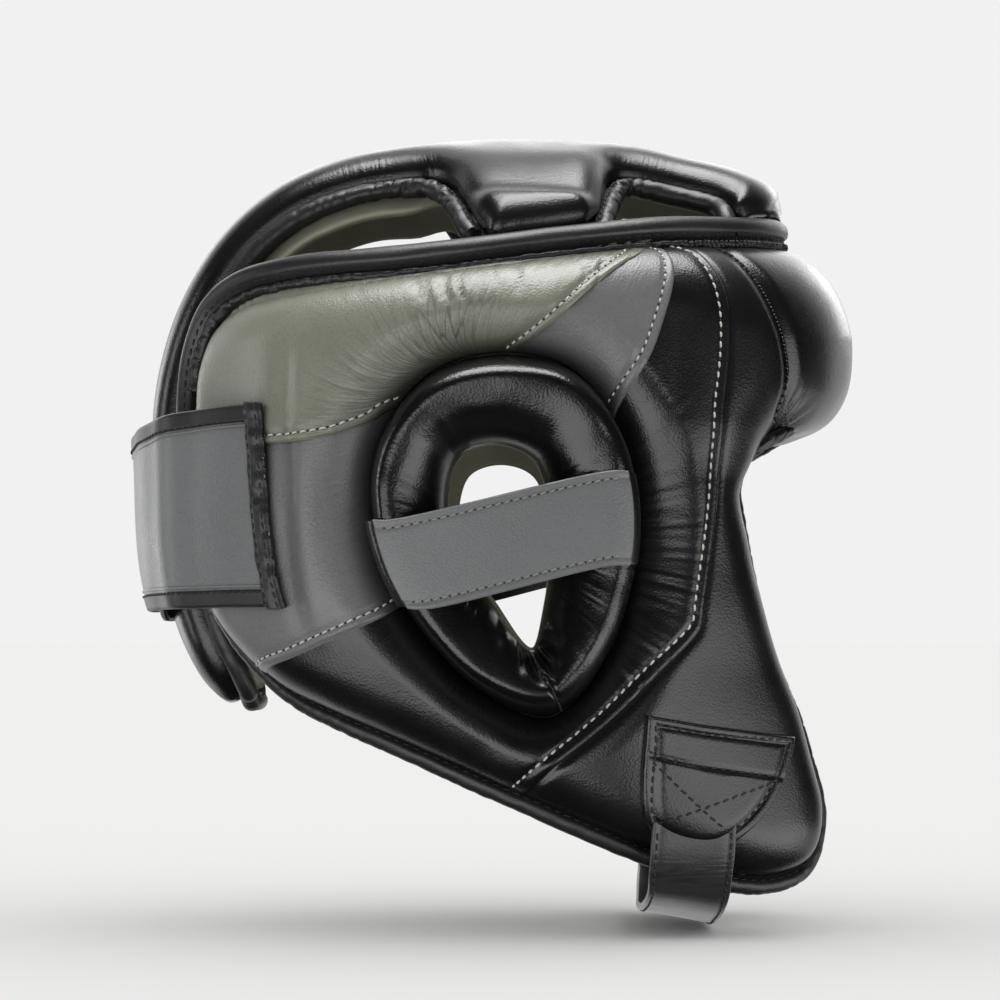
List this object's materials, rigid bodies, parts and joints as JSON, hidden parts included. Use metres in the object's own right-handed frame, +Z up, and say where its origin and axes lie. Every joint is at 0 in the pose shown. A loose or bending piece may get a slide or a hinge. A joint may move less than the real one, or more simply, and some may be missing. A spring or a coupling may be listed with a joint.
{
  "type": "kickboxing headgear",
  "caption": "Padded leather head guard with a brow roll, long cheeks, ear rings crossed by straps, a cross-shaped crown, a wide rear strap and a chin strap.",
  "frame": {"origin": "the point under the crown where the top of the head sits", "axes": "+X where the face looks, +Y to the wearer's left, +Z up"},
  "size_m": [0.2473, 0.2092, 0.2698],
  "materials": {
    "black_leather": "semi-gloss smooth grain",
    "olive_leather": "satin fine grain",
    "grey_leather": "satin fine grain",
    "strap_leather": "satin fine grain",
    "lining_suede": "matt suede"
  },
  "bodies": {
    "root": {"brow_pad": "black_leather", "side_pad_right": "black_leather", "side_pad_left": "black_leather", "temple_panel_right": "olive_leather", "temple_panel_left": "olive_leather", "corner_panel_right": "grey_leather", "corner_panel_left": "grey_leather", "rear_panel_right": "grey_leather", "rear_panel_left": "grey_leather", "ear_pad_right": "black_leather", "ear_pad_left": "black_leather", "ear_strap_right": "strap_leather", "ear_strap_left": "strap_leather", "crown_pad": "black_leather", "vent_binding_right": "black_leather", "vent_binding_left": "black_leather", "back_binding": "black_leather", "rim_binding": "black_leather", "edge_binding_right": "black_leather", "edge_binding_left": "black_leather", "rear_strap_right": "strap_leather", "rear_strap_left": "strap_leather", "rear_strap_binding_top": "black_leather", "rear_strap_binding_bottom": "black_leather", "rear_strap_tape_right": "black_leather", "rear_strap_tape_left": "black_leather", "chin_patch_right": "black_leather", "chin_patch_left": "black_leather", "chin_strap": "black_leather", "lining_right": "lining_suede", "lining_left": "lining_suede", "lining_brow": "lining_suede", "lining_crown": "lining_suede"}
  },
  "joints": []
}
